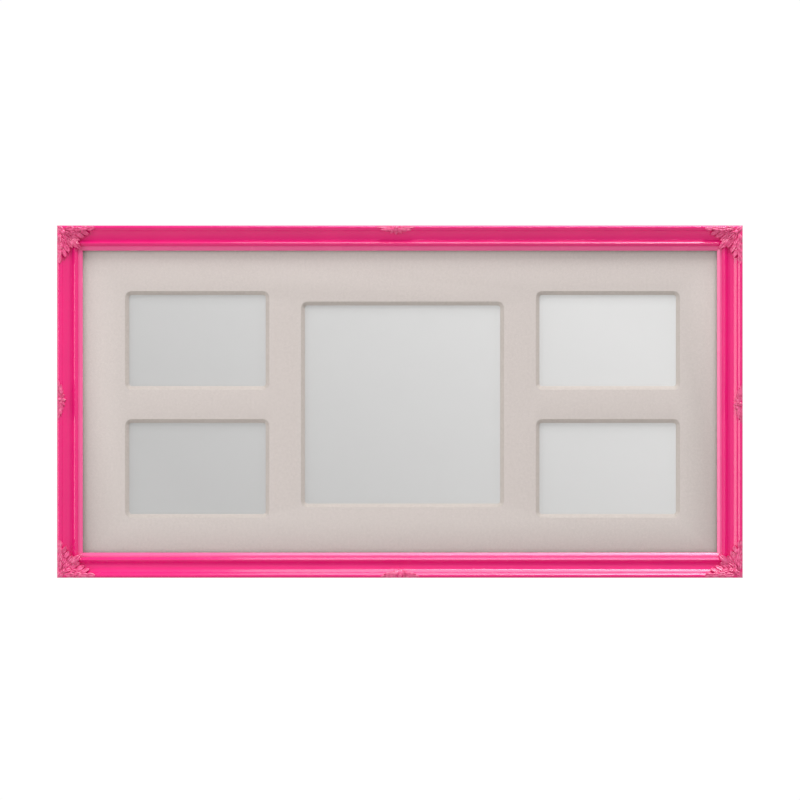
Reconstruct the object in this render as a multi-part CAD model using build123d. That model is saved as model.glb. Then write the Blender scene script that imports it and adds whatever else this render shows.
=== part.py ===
from build123d import *
import os
from math import asin, atan2, degrees

# Landscape collage photo frame: an ornate moulding with leaf ornaments, glazing, a mount board with
# five bevelled windows, and a back board held by turn buttons. It hangs on a wall by two D rings.
# Millimetres. X runs to the right as seen from the front, Y from the front to the wall, Z up.
# The origin is the centre of the frame's back plane, which is the plane that faces the wall.

# Overall size
frame_width = 720.0
frame_height = 370.0

# Moulding: its width is measured across the face, from the outer edge to the sight edge
moulding_width = 26.0
moulding_depth = 21.5
scoop_height = 14.6
rabbet_width = 7.0

# The stack that lies in the rabbet, from the front to the back
glass_thickness = 2.0
mount_thickness = 3.6
card_thickness = 0.4
board_thickness = 3.0
layer_gap = 0.1
board_recess = 0.4
stack_clearance = 1.0

# Windows of the mount: the sizes are what shows of each picture. The two columns of small windows stand
# in a little from the middle of the space beside the centre window.
small_window_width = 144.0
small_window_height = 96.0
centre_window_width = 206.0
centre_window_height = 209.0
column_inset = 2.0
row_gap = 39.0
group_shift_x = 2.8
group_shift_z = -3.0
bevel_width = 4.0
window_radius = 2.6
card_overlap_x = 4.0
card_overlap_z = 3.0

# Corner ornaments: the arm runs along each outer edge, the reach is that of the leaf on the mitre
corner_arm = 40.5
corner_reach = 22.6
rib_lift = 0.9
corner_rib_width = 2.0
bud_radius = 2.8
bud_height = 1.3
bud_sides = 8

# Centre ornaments: half their length along the rail, and their reach across it
centre_arm = 21.0
centre_reach = 9.0
centre_rib_width = 1.8
centre_shift_top = -4.0
centre_shift_bottom = 0.0
centre_shift_left = 2.0
centre_shift_right = -2.5

# V nails across the mitres
nail_arm = 5.0
nail_thickness = 0.8
nail_depth = 7.0
nail_recess = 0.3

# Turn buttons and their screws
button_length = 20.0
button_thickness = 1.2
button_end_radius = 5.0
button_nose_width = 6.0
button_nose_chamfer = 1.2
button_gap = 0.2
running_gap = 0.08
button_screw_radius = 1.5
button_screw_length = 11.0
button_head_radius = 3.2
button_head_height = 1.6
screw_sides = 8

# Hangers: a strap folded round the straight bar of a D ring
ring_wire_radius = 1.0
ring_bar_half = 5.0
ring_corner_radius = 2.2
wire_flats = 6
strap_sheet = 0.8
strap_width = 9.0
strap_length = 22.0
ring_rest_gap = 0.3
hanger_height = 110.0
hanger_screw_radius = 1.6
hanger_screw_length = 12.0
hanger_head_radius = 3.3
hanger_head_height = 1.7
hanger_screw_inset = 5.4

# One overrun for all cuts
overrun = 5.0

# Shares of the moulding's width and of its relief, the height from the scoop's floor to the rim.
# Each stretch of the face gives the point that an arc passes, or None for a straight line, and its end.
face_start_share = (0.0, 0.52)
face_stretch_shares = (
    ((0.019, 0.852), (0.100, 1.000)),
    ((0.156, 0.950), (0.200, 0.810)),
    (None, (0.238, 0.840)),
    ((0.330, 0.300), (0.460, 0.000)),
    ((0.520, 0.015), (0.577, 0.087)),
    ((0.634, 0.400), (0.730, 0.520)),
    ((0.800, 0.389), (0.815, 0.100)),
    (None, (0.840, 0.030)),
    (None, (0.870, 0.100)),
    (None, (0.962, 0.100)),
    ((0.989, 0.060), (1.000, -0.040)),
)
# The face of a cast ornament over the moulding, in the same shares
ornament_face_shares = (
    (0.00, 0.52),
    (0.00, 0.90),
    (0.06, 1.14),
    (0.19, 1.12),
    (0.27, 0.92),
    (0.40, 0.55),
    (0.52, 0.42),
    (0.62, 0.56),
    (0.74, 0.78),
    (0.84, 0.62),
    (0.92, 0.24),
)
# Notches between the leaf lobes of half a corner ornament, from the arm's tip to the mitre. The first
# share runs from the leaf's reach to the arm's tip, the second from the outer edge to the leaf's reach.
corner_notch_shares = (
    (1.00, 0.09),
    (0.80, 0.24),
    (0.50, 0.27),
    (0.22, 0.38),
    (0.08, 0.56),
    (0.03, 0.76),
    (0.00, 1.00),
)
# Veins of the leaf in the same shares, each from its root to its tip
corner_rib_shares = (
    ((0.10, 0.10), (0.92, 0.10)),
    ((-0.20, 0.15), (0.62, 0.20)),
    ((-0.50, 0.30), (0.14, 0.40)),
    ((-0.62, 0.42), (0.00, 0.62)),
    ((-0.66, 0.50), (-0.06, 0.84)),
)
# Where the bud of the corner leaf sits on the mitre, as a share of the reach, and its tip's size
bud_place_share = 0.28
bud_tip_share = 0.45
# Notches and veins of half a centre ornament, as shares of its half length and its reach
centre_notch_shares = (
    (1.00, 0.12),
    (0.86, 0.42),
    (0.62, 0.52),
    (0.40, 0.70),
    (0.19, 0.84),
)
centre_rib_shares = (
    ((0.30, 0.22), (0.94, 0.22)),
    ((0.14, 0.30), (0.72, 0.44)),
    ((0.08, 0.34), (0.50, 0.60)),
    ((0.04, 0.36), (0.28, 0.76)),
)
# Place of the turn buttons on the long rails, as a share of half a rail. The short rails have one each.
button_place_share = 0.5
# Places of the V nails on the mitre, as shares of the land behind the moulding
nail_place_shares = (0.26, 0.58)
# How far a lobe's tip stands out, as a share of its chord, and where a vein is widest on its length
lobe_point_share = 0.34
rib_widest_share = 0.35
# Height of a screw's pointed end, as a share of its length, and of its head's crown, as a share of the
# head's height, and how small both are drawn in
screw_point_share = 0.2
screw_tip_share = 0.2
head_crown_share = 0.75
head_top_share = 0.7

# Worked out from the sizes above
relief = moulding_depth - scoop_height
land_width = moulding_width - rabbet_width
sight_width = frame_width - 2 * moulding_width
stack_width = frame_width - 2 * (land_width + stack_clearance)
stack_height = frame_height - 2 * (land_width + stack_clearance)
board_back = -board_recess
board_front = board_back - board_thickness
card_back = board_front - layer_gap
mount_back = card_back - card_thickness
mount_front = mount_back - mount_thickness
glass_back = mount_front - layer_gap
glass_front = glass_back - glass_thickness
rabbet_depth = layer_gap - glass_front
ornament_base = (rabbet_depth + scoop_height) / 2
pivot_inset = land_width / 2
button_hole_radius = button_screw_radius + running_gap
strap_bore = ring_wire_radius + running_gap
strap_roll = strap_bore + strap_sheet
strap_plate = 2 * strap_sheet
ring_drop = ring_corner_radius + ring_bar_half + ring_corner_radius
ring_tilt = degrees(asin((strap_plate + ring_rest_gap + ring_wire_radius - strap_roll) / ring_drop))


def sides():
    """Each side's length and the distance of its outer edge from the centre, a quarter turn apart."""
    wide = (frame_width, frame_height / 2)
    tall = (frame_height, frame_width / 2)
    return {"bottom": wide, "left": tall, "top": wide, "right": tall}


def turned(side):
    """The turn about Y that takes the bottom rail's place to this side's."""
    return Rot(0, 90 * list(sides()).index(side), 0)


def windows():
    """Each window's middle, from the middle of the group, and its width and height."""
    column = (centre_window_width + sight_width) / 4 - column_inset
    row = (small_window_height + row_gap) / 2
    small = (small_window_width, small_window_height)
    return {
        "upper_left": (-column, row, *small),
        "lower_left": (-column, -row, *small),
        "centre": (0, 0, centre_window_width, centre_window_height),
        "upper_right": (column, row, *small),
        "lower_right": (column, -row, *small),
    }


def write(name, shape):
    """Write one sub-part, as a group where it is several solids."""
    solids = shape.solids()
    whole = solids[0] if len(solids) == 1 else Compound(children=list(solids))
    whole.label = name
    export_step(whole, f"parts/{name}.step")


def facing(y):
    """A plane parallel to the wall at this Y, with its own x to the right and y up, facing the front."""
    return Plane.XZ.offset(-y)


def slab(sketch, front, back):
    """A sketch in X and Z made solid between two places along Y."""
    return extrude(facing(back) * sketch, amount=back - front)


def on_side(side, along, inset):
    """The place on a side's back plane, by its distance along the rail and in from the outer edge."""
    _, distance = sides()[side]
    return turned(side) * Pos(along, 0, inset - distance)


def drawn_in(prism, end, inset, height):
    """A prism along Y with its front or back end drawn in by this inset over this height."""
    face = prism.faces().sort_by(Axis.Y)[0 if end == "front" else -1]
    return chamfer(face.edges(), inset, height, reference=face)


def screw(radius, length, head_radius, head_height):
    """A pan-head wood screw along Y, its head's seat at the origin and its point towards the front."""
    shank = slab(RegularPolygon(radius, screw_sides), -length, 0)
    head = slab(RegularPolygon(head_radius, screw_sides), 0, head_height)
    point_inset = (1 - screw_tip_share) * radius
    crown_inset = (1 - head_top_share) * head_radius
    pointed = drawn_in(shank, "front", point_inset, screw_point_share * length)
    return pointed + drawn_in(head, "back", crown_inset, head_crown_share * head_height)


def face_point(share):
    """A point of the moulding's face as its distance from the outer edge and its height."""
    return (share[0] * moulding_width, scoop_height + share[1] * relief)


def rail_section():
    """The moulding's outline: x from the outer edge to the sight edge, y from the back to the face."""
    outline = Curve() + Line((0, 0), face_point(face_start_share))
    start = face_start_share
    for passing, end in face_stretch_shares:
        if passing is None:
            outline += Line(face_point(start), face_point(end))
        else:
            outline += ThreePointArc(face_point(start), face_point(passing), face_point(end))
        start = end
    outline += Polyline(
        face_point(start),
        (moulding_width, rabbet_depth),
        (land_width, rabbet_depth),
        (land_width, 0),
        (0, 0),
    )
    return make_face(outline)


def section_plane(distance):
    """The plane across the bottom rail: x in from the outer edge, y from the back to the face."""
    return Plane(origin=(0, 0, -distance), x_dir=(0, 0, 1), z_dir=(1, 0, 0))


def mitred(length, distance):
    """The space between the two mitres of a rail in the bottom rail's place."""
    end = length / 2
    reach = moulding_width + overrun
    plan = Polygon(
        (-end, -distance),
        (end, -distance),
        (end - reach, reach - distance),
        (reach - end, reach - distance),
        align=None,
    )
    return slab(plan, -moulding_depth - overrun, overrun)


def nail_plan(place):
    """The plan of a V nail at the bottom left corner, its apex on the mitre towards the corner."""
    outline = Polygon(
        (0, 0),
        (nail_arm, 0),
        (nail_arm, nail_thickness),
        (nail_thickness, nail_thickness),
        (nail_thickness, nail_arm),
        (0, nail_arm),
        align=None,
    )
    return Pos(place - frame_width / 2, place - frame_height / 2) * outline


def four_corners(shape):
    """A shape at the bottom left corner and its mirror images at the other three."""
    right = mirror(shape, about=Plane.YZ)
    return {
        "bottom_left": shape,
        "bottom_right": right,
        "top_left": mirror(shape, about=Plane.XY),
        "top_right": mirror(right, about=Plane.XY),
    }


def mitre_wedges():
    """Two V nails in each corner, driven into both rails from the back."""
    nails = [
        slab(nail_plan(share * land_width), -nail_recess - nail_depth, -nail_recess)
        for share in nail_place_shares
    ]
    return [corner for nail in nails for corner in four_corners(nail).values()]


def button_places():
    """Name and place of every turn button."""
    along = button_place_share * frame_width / 2
    return {
        "top_left": on_side("top", along, pivot_inset),
        "top_right": on_side("top", -along, pivot_inset),
        "bottom_left": on_side("bottom", -along, pivot_inset),
        "bottom_right": on_side("bottom", along, pivot_inset),
        "left": on_side("left", 0, pivot_inset),
        "right": on_side("right", 0, pivot_inset),
    }


def hanger_places():
    """The middle of each D ring's bar, on the backs of the two side rails."""
    inset = frame_width / 2 - pivot_inset
    return {
        "left": Pos(-inset, strap_roll, hanger_height),
        "right": Pos(inset, strap_roll, hanger_height),
    }


def strap_screw_drop():
    """How far below the D ring's bar the strap's screw is."""
    return strap_length - hanger_screw_inset


def rails():
    """The four mitred lengths of moulding."""
    made = {}
    for side, (length, distance) in sides().items():
        run = extrude(section_plane(distance) * rail_section(), amount=length / 2, both=True)
        made[side] = turned(side) * (run & mitred(length, distance))
    return made


def ornament_body(half_length, lift):
    """The space over the moulding that a cast ornament fills, raised by lift, in the bottom rail's place.

    It starts below the moulding's face, and the rails are cut from it, so that it seats on them.
    """
    top = [face_point(share) for share in ornament_face_shares]
    first, last = top[0], top[-1]
    raised = [(x, y + lift) for x, y in top[1:]]
    outline = Polygon((first[0], ornament_base), first, *raised, (last[0], ornament_base), align=None)
    return extrude(section_plane(frame_height / 2) * outline, amount=half_length, both=True)


def lobes(notches):
    """The edge of a leaf through these notches, with a pointed lobe between each two."""
    edge = [notches[0]]
    for start, end in zip(notches, notches[1:]):
        along = (end[0] - start[0], end[1] - start[1])
        middle = ((start[0] + end[0]) / 2, (start[1] + end[1]) / 2)
        edge.append((middle[0] + lobe_point_share * along[1], middle[1] - lobe_point_share * along[0]))
        edge.append(end)
    return edge


def vein(root, tip, width):
    """The plan of a raised vein, a long kite from its root to its tip."""
    root, tip = Vector(*root), Vector(*tip)
    along = tip - root
    across = Vector(-along.Y, along.X).normalized() * (width / 2)
    widest = root + along * rib_widest_share
    return Polygon(
        (root.X, root.Y),
        ((widest - across).X, (widest - across).Y),
        (tip.X, tip.Y),
        ((widest + across).X, (widest + across).Y),
        align=None,
    )


def corner_point(share):
    """A point of the corner leaf's plan, measured from the frame's corner along and across the rail."""
    return (corner_reach + share[0] * (corner_arm - corner_reach), share[1] * corner_reach)


def corner_leaf():
    """The leaf at the bottom left corner, over both rails."""
    notches = [corner_point(share) for share in corner_notch_shares]
    edge = Polygon((0, 0), (corner_arm, 0), *lobes(notches), align=None)
    corner = Pos(-frame_width / 2, -frame_height / 2)
    front, back = -moulding_depth - overrun, -ornament_base
    silhouette = slab(corner * edge, front, back)
    body = Pos(-frame_width / 2, 0, 0) * ornament_body(corner_arm + overrun, 0.0)
    ribbed = Pos(-frame_width / 2, 0, 0) * ornament_body(corner_arm + overrun, rib_lift)
    half = body & silhouette
    for root, tip in corner_rib_shares:
        plan = vein(corner_point(root), corner_point(tip), corner_rib_width)
        half += ribbed & slab(corner * plan, front, back) & silhouette
    mitre = Plane(origin=(-frame_width / 2, 0, -frame_height / 2), z_dir=(1, 0, -1))
    return half + mirror(half, about=mitre) + corner_bud()


def corner_bud():
    """The bud at the root of the corner leaf, on the mitre, with cut sides that draw in."""
    inset = bud_place_share * corner_reach
    crest = max(share[1] for share in ornament_face_shares)
    shoulder = scoop_height + crest * relief
    outline = Pos(inset - frame_width / 2, inset - frame_height / 2) * RegularPolygon(bud_radius, bud_sides)
    stem = slab(outline, -shoulder - bud_height, -ornament_base)
    return drawn_in(stem, "front", (1 - bud_tip_share) * bud_radius, bud_height)


def centre_point(share):
    """A point of the centre spray's plan, measured from its middle on the outer edge."""
    return (share[0] * centre_arm, share[1] * centre_reach)


def centre_spray():
    """The spray at the middle of the bottom rail, symmetrical about its middle."""
    right = [centre_point(share) for share in centre_notch_shares]
    left = [(-x, y) for x, y in reversed(right)]
    edge = Polygon((-centre_arm, 0), (centre_arm, 0), *lobes(right + left), align=None)
    base = Pos(0, -frame_height / 2)
    front, back = -moulding_depth - overrun, -ornament_base
    silhouette = slab(base * edge, front, back)
    ribbed = ornament_body(centre_arm + overrun, rib_lift) & silhouette
    spray = ornament_body(centre_arm + overrun, 0.0) & silhouette
    for root, tip in centre_rib_shares:
        plan = vein(centre_point(root), centre_point(tip), centre_rib_width)
        for one in (plan, mirror(plan, about=Plane.YZ)):
            spray += ribbed & slab(base * one, front, back)
    return spray


def corner_ornaments(made_rails):
    """The four corner castings, cut underneath by the rails that they are glued to."""
    return four_corners(corner_leaf() - made_rails["bottom"] - made_rails["left"])


def centre_ornaments(made_rails):
    """The four castings at the middle of the sides, cut underneath by their rails."""
    shifts = {
        "top": -centre_shift_top,
        "bottom": centre_shift_bottom,
        "left": -centre_shift_left,
        "right": centre_shift_right,
    }
    sprays = {}
    for side, (_, distance) in sides().items():
        place = turned(side) * Pos(shifts[side], 0, frame_height / 2 - distance)
        sprays[side] = place * centre_spray() - made_rails[side]
    return sprays


def mount_board():
    """The mount with its bevelled windows, which open towards the front."""
    board = slab(Rectangle(stack_width, stack_height), mount_front, mount_back)
    slope = degrees(atan2(bevel_width, mount_thickness))
    for x, z, width, height in windows().values():
        centre = Pos(x + group_shift_x, z + group_shift_z)
        shows = facing(mount_back) * centre * RectangleRounded(width, height, window_radius)
        board -= extrude(shows, amount=mount_thickness, taper=-slope)
    return board


def filler_card(window):
    """The blank card behind one window."""
    x, z, width, height = windows()[window]
    card = Rectangle(width + 2 * card_overlap_x, height + 2 * card_overlap_z)
    return slab(Pos(x + group_shift_x, z + group_shift_z) * card, mount_back, card_back)


def turn_button():
    """A flat tapered button with its pivot at the origin and its nose along X, above the back plane."""
    half, chamfer = button_nose_width / 2, button_nose_chamfer
    blade = Polygon(
        (0, -button_end_radius),
        (button_length - chamfer, -half),
        (button_length, chamfer - half),
        (button_length, half - chamfer),
        (button_length - chamfer, half),
        (0, button_end_radius),
        align=None,
    )
    outline = blade + Circle(button_end_radius) - Circle(button_hole_radius)
    return slab(outline, button_gap, button_gap + button_thickness)


def button_screws():
    """The screws that the turn buttons pivot on."""
    seat = 2 * button_gap + button_thickness
    one = Pos(0, seat, 0) * screw(
        button_screw_radius, button_screw_length + seat, button_head_radius, button_head_height
    )
    return [place * one for place in button_places().values()]


def hanger_strap():
    """A strip folded round the ring's bar, its two layers flat on the rail. The bar is at the origin."""
    plate_middle = (strap_plate / 2 - strap_roll, -strap_length / 2)
    outline = Pos(*plate_middle) * Rectangle(strap_plate, strap_length) + Circle(strap_roll)
    strap = extrude(Plane.YZ * (outline - Circle(strap_bore)), amount=strap_width / 2, both=True)
    end = strap_length - strap_width / 2
    plan = Rectangle(strap_width, end + strap_roll, align=(Align.CENTER, Align.MIN))
    plan = Pos(0, -end) * plan + Pos(0, -end) * Circle(strap_width / 2)
    plan -= Pos(0, -strap_screw_drop()) * Circle(hanger_screw_radius + running_gap)
    return strap & slab(plan, -strap_roll - overrun, strap_roll + overrun)


def bow_path():
    """The middle line of a D ring's bow, from one end of its straight bar to the other."""
    middle, turn = ring_bar_half, ring_corner_radius
    right = CenterArc((middle, -turn), turn, 90, -90)
    bow = CenterArc((0, -turn), middle + turn, 0, -180)
    left = CenterArc((-middle, -turn), turn, 180, -90)
    return Wire([Plane.XZ * edge.edge() for edge in (right, bow, left)])


def hanger_ring():
    """A D ring, resting against its strap: a round bar, and a bow with flats along its wire."""
    path = bow_path()
    across = Plane(origin=path @ 0, x_dir=(0, 1, 0), z_dir=path % 0)
    flat_turn = 180 / wire_flats
    bow = sweep(across * Rot(0, 0, flat_turn) * RegularPolygon(ring_wire_radius, wire_flats), path=path)
    bar = Rot(0, 90, 0) * Cylinder(ring_wire_radius, 2 * ring_bar_half)
    return Rot(ring_tilt, 0, 0) * (bar + bow)


def hanger_screws():
    """The screws of the two straps."""
    seat = strap_plate - strap_roll
    one = Pos(0, seat, -strap_screw_drop()) * screw(
        hanger_screw_radius, hanger_screw_length + strap_plate, hanger_head_radius, hanger_head_height
    )
    return [place * one for place in hanger_places().values()]


def main():
    """Build every sub-part and write it."""
    os.makedirs("parts", exist_ok=True)
    made_rails = rails()
    for side, rail in made_rails.items():
        write(f"rail_{side}", rail)
    for corner, leaf in corner_ornaments(made_rails).items():
        write(f"corner_ornament_{corner}", leaf)
    for side, spray in centre_ornaments(made_rails).items():
        write(f"centre_ornament_{side}", spray)
    write("mitre_wedges", Compound(children=mitre_wedges()))
    write("glass_pane", slab(Rectangle(stack_width, stack_height), glass_front, glass_back))
    write("mount_board", mount_board())
    for window in windows():
        write(f"filler_card_{window}", filler_card(window))
    write("back_board", slab(Rectangle(stack_width, stack_height), board_front, board_back))
    for name, place in button_places().items():
        write(f"turn_button_{name}", place * turn_button())
    write("turn_button_screws", Compound(children=button_screws()))
    for name, place in hanger_places().items():
        write(f"hanger_strap_{name}", place * hanger_strap())
        write(f"hanger_ring_{name}", place * hanger_ring())
    write("hanger_screws", Compound(children=hanger_screws()))


main()
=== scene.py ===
"""A collage photo frame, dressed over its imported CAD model.

The moulding, the cast leaf ornaments, the bevelled mount and the steel hardware are modelled again at
full detail over their CAD nodes. The glass, the cards, the back board and the mitre wedges keep their
CAD shape and get their finish here. All lengths are in metres, in the frame of the CAD model: X to the
right as seen from the front, Y from the front to the wall, Z up.
"""

import logging
import math
from dataclasses import dataclass, field, replace
from enum import Enum
from typing import ClassVar, Iterable, Sequence

import bmesh
import bpy
import numpy as np
from mathutils import Matrix, Vector


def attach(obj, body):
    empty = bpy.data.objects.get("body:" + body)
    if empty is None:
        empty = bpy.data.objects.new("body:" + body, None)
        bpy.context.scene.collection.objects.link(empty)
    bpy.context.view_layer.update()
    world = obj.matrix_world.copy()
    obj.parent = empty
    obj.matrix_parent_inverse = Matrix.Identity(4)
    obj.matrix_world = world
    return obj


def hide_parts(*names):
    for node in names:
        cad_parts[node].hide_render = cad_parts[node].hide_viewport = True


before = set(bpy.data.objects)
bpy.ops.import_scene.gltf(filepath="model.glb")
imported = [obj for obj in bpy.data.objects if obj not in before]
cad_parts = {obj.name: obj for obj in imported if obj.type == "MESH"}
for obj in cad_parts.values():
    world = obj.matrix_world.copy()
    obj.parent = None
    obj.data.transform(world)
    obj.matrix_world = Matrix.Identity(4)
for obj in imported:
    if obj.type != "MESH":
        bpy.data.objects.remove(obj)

LOG = logging.getLogger("photo_frame")
MM = 0.001
FULL_TURN = 2 * math.pi

Point = tuple[float, float]
Place = tuple[float, float, float]
Socket = bpy.types.NodeSocket
Tree = bpy.types.NodeTree
Object = bpy.types.Object
Material = bpy.types.Material


class Side(Enum):
    """A side of the frame, as its number of quarter turns about Y from the bottom rail's place."""

    BOTTOM = 0
    LEFT = 1
    TOP = 2
    RIGHT = 3

    @property
    def word(self) -> str:
        """The side's name in the CAD nodes."""
        return self.name.lower()

    @property
    def turn(self) -> Matrix:
        """The turn that takes a piece from the bottom rail's place to this side's."""
        return Matrix.Rotation(self.value * math.pi / 2, 4, "Y")

    @property
    def is_long(self) -> bool:
        """True for the two long rails."""
        return self in (Side.BOTTOM, Side.TOP)


class Grain(Enum):
    """The way that wood grain runs, as the pattern's stretch along X, Y and Z."""

    ALONG_X = (0.04, 1.0, 1.0)
    ALONG_Z = (1.0, 1.0, 0.04)


def linear(colour: str) -> tuple[float, float, float, float]:
    """Turn an sRGB hex colour into linear light.

    Args:
        colour: six hex digits after a hash mark.

    Returns:
        Red, green, blue and an alpha of one.
    """
    parts = [int(colour[i : i + 2], 16) / 255 for i in (1, 3, 5)]
    light = [c / 12.92 if c <= 0.04045 else ((c + 0.055) / 1.055) ** 2.4 for c in parts]
    return (*light, 1.0)


def add_node(
    tree: Tree, kind: str, inputs: dict[str | int, object] | None = None, **settings: object
) -> bpy.types.Node:
    """Add a shader node with its settings, and set or link its inputs.

    Args:
        tree: the tree that the node goes into.
        kind: Blender's name for the node.
        inputs: each input's value, or the socket that feeds it.
        **settings: the node's own properties.

    Returns:
        The new node.
    """
    made = tree.nodes.new(kind)
    for name, value in settings.items():
        setattr(made, name, value)
    for name, value in (inputs or {}).items():
        # A Mix node has several inputs of one name, and only those of its data type are in use
        socket = next(s for n, s in enumerate(made.inputs) if s.enabled and name in (n, s.name))
        if isinstance(value, Socket):
            tree.links.new(value, socket)
        else:
            socket.default_value = value
    return made


def blank_material(name: str) -> Material:
    """Make a material with an empty node tree.

    Args:
        name: the material's name.

    Returns:
        The material.
    """
    material = bpy.data.materials.new(name)
    material.use_nodes = True
    material.node_tree.nodes.clear()
    return material


@dataclass(frozen=True)
class Finish:
    """A finish: clouds of two colours, and a finer grain that varies the gloss and roughens the skin.

    The low colour and the first roughness are where their pattern is low. The colours change over the
    cloud span. Where there is a gloss span, the gloss follows the clouds over it, and not the grain.
    The stretch draws both patterns out along X, Y or Z.
    """

    name: str
    low_colour: str
    high_colour: str
    cloud: float
    grain: float
    grain_depth: float
    roughness: Point
    cloud_span: Point = (0.0, 1.0)
    cloud_detail: float = 2.0
    cloud_roughness: float = 0.5
    distortion: float = 0.0
    grain_detail: float = 2.0
    stretch: Place | None = None
    gloss_span: Point | None = None
    specular: float = 0.5
    coat: float = 0.0
    coat_roughness: float = 0.03
    metallic: float = 0.0

    def clouds(self, tree: Tree, place: Socket) -> Socket:
        """Lay out the pattern that the colours follow.

        Args:
            tree: the material's nodes.
            place: where a point of the piece is.

        Returns:
            The pattern, from nought to one.
        """
        inputs = {
            "Vector": place,
            "Scale": 1 / self.cloud,
            "Detail": self.cloud_detail,
            "Roughness": self.cloud_roughness,
            "Distortion": self.distortion,
        }
        return add_node(tree, "ShaderNodeTexNoise", inputs).outputs["Fac"]

    def relief(self, tree: Tree, place: Socket, grain: Socket) -> Socket:
        """The relief of the skin, which is the grain unless a finish adds to it."""
        return grain

    def make(self) -> Material:
        """Build the material.

        Returns:
            The material, under the finish's own name.
        """
        material = blank_material(self.name)
        tree = material.node_tree
        place = add_node(tree, "ShaderNodeTexCoord").outputs["Object"]
        if self.stretch:
            place = add_node(tree, "ShaderNodeMapping", {"Vector": place, "Scale": self.stretch}).outputs["Vector"]
        clouds = self.clouds(tree, place)
        grain_inputs = {"Vector": place, "Scale": 1 / self.grain, "Detail": self.grain_detail}
        grain = add_node(tree, "ShaderNodeTexNoise", grain_inputs).outputs["Fac"]
        span = {"Value": clouds, "From Min": self.cloud_span[0], "From Max": self.cloud_span[1]}
        share = add_node(tree, "ShaderNodeMapRange", span).outputs["Result"]
        colours = {"Factor": share, "A": linear(self.low_colour), "B": linear(self.high_colour)}
        colour = add_node(tree, "ShaderNodeMix", colours, data_type="RGBA").outputs["Result"]
        gloss = {"Value": grain, "To Min": self.roughness[0], "To Max": self.roughness[1]}
        if self.gloss_span:
            gloss |= {"Value": clouds, "From Min": self.gloss_span[0], "From Max": self.gloss_span[1]}
        bump = {"Height": self.relief(tree, place, grain), "Distance": self.grain_depth}
        inputs = {
            "Base Color": colour,
            "Metallic": self.metallic,
            "Roughness": add_node(tree, "ShaderNodeMapRange", gloss).outputs["Result"],
            "Normal": add_node(tree, "ShaderNodeBump", bump).outputs["Normal"],
            "Specular IOR Level": self.specular,
            "Coat Weight": self.coat,
            "Coat Roughness": self.coat_roughness,
        }
        shader = add_node(tree, "ShaderNodeBsdfPrincipled", inputs)
        add_node(tree, "ShaderNodeOutputMaterial", {"Surface": shader.outputs["BSDF"]})
        return material


@dataclass(frozen=True)
class SprayedEnamel(Finish):
    """Gloss enamel, sprayed over gessoed pine."""

    # A deep, wet pink with clean highlights and a faint orange peel
    name: str = "sprayed_pink_enamel"
    low_colour: str = "#DB1570"
    high_colour: str = "#E51A76"
    # The coat is a little thinner in places a hand's breadth apart, and duller there
    cloud: float = 35 * MM
    cloud_detail: float = 1.0
    gloss_span: Point | None = (0.3, 0.7)
    # Sprayed enamel dries with an orange peel some two millimetres across and a few hundredths deep
    grain: float = 1.8 * MM
    grain_detail: float = 1.0
    grain_depth: float = 0.02 * MM
    roughness: Point = (0.15, 0.22)
    specular: float = 0.28
    coat: float = 0.4
    coat_roughness: float = 0.07


@dataclass(frozen=True)
class StippledEnamel(Finish):
    """The same enamel over ornament that was cast of composition."""

    # A mottled pink with a grainy skin: paler on the raised dents and darker in the hollows between, a painted
    # highlight and painted shade
    name: str = "enamel_on_cast_composition"
    # The two colours follow the same noise as the dents: painted highlight on the raised dents, painted shade in the
    # hollows
    low_colour: str = "#C01C5F"
    high_colour: str = "#E9558E"
    # Cast composition shrinks as it dries, which leaves dents some three millimetres across
    cloud: float = 3.6 * MM
    cloud_span: Point = (0.32, 0.68)
    grain: float = 3.6 * MM
    grain_depth: float = 0.45 * MM
    roughness: Point = (0.28, 0.42)
    specular: float = 0.6
    coat: float = 0.5
    coat_roughness: float = 0.2


@dataclass(frozen=True)
class PlanedPine(Finish):
    """Pine, planed and left bare."""

    # Pale straw wood with darker growth rings, drawn out along the rail
    name: str = "planed_pine_along_x"
    stretch: Place | None = Grain.ALONG_X.value
    low_colour: str = "#E2C697"
    high_colour: str = "#BE9460"
    # Growth rings of slow northern pine are two to four millimetres apart
    cloud: float = 3.2 * MM
    cloud_span: Point = (0.38, 0.62)
    distortion: float = 0.4
    # The fibres are finer than this in truth, and are drawn as coarse as they need to show
    grain: float = 0.5 * MM
    grain_depth: float = 0.05 * MM
    roughness: Point = (0.5, 0.8)


@dataclass(frozen=True)
class PaintedFibreboard(Finish):
    """Fine fibreboard under flat emulsion paint."""

    # A chalky greige with a slightly felted grain
    name: str = "greige_painted_fibreboard"
    low_colour: str = "#CAC1BD"
    high_colour: str = "#D1C8C4"
    # The felted fibres lie in tufts of a few millimetres, which the paint shows as a faint mottle
    cloud: float = 2.4 * MM
    cloud_detail: float = 4.0
    cloud_span: Point = (0.3, 0.7)
    # Single fibres are finer than this in truth, and are drawn as coarse as they need to show
    grain: float = 0.45 * MM
    grain_depth: float = 0.03 * MM
    roughness: Point = (0.66, 0.86)
    specular: float = 0.35


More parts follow.
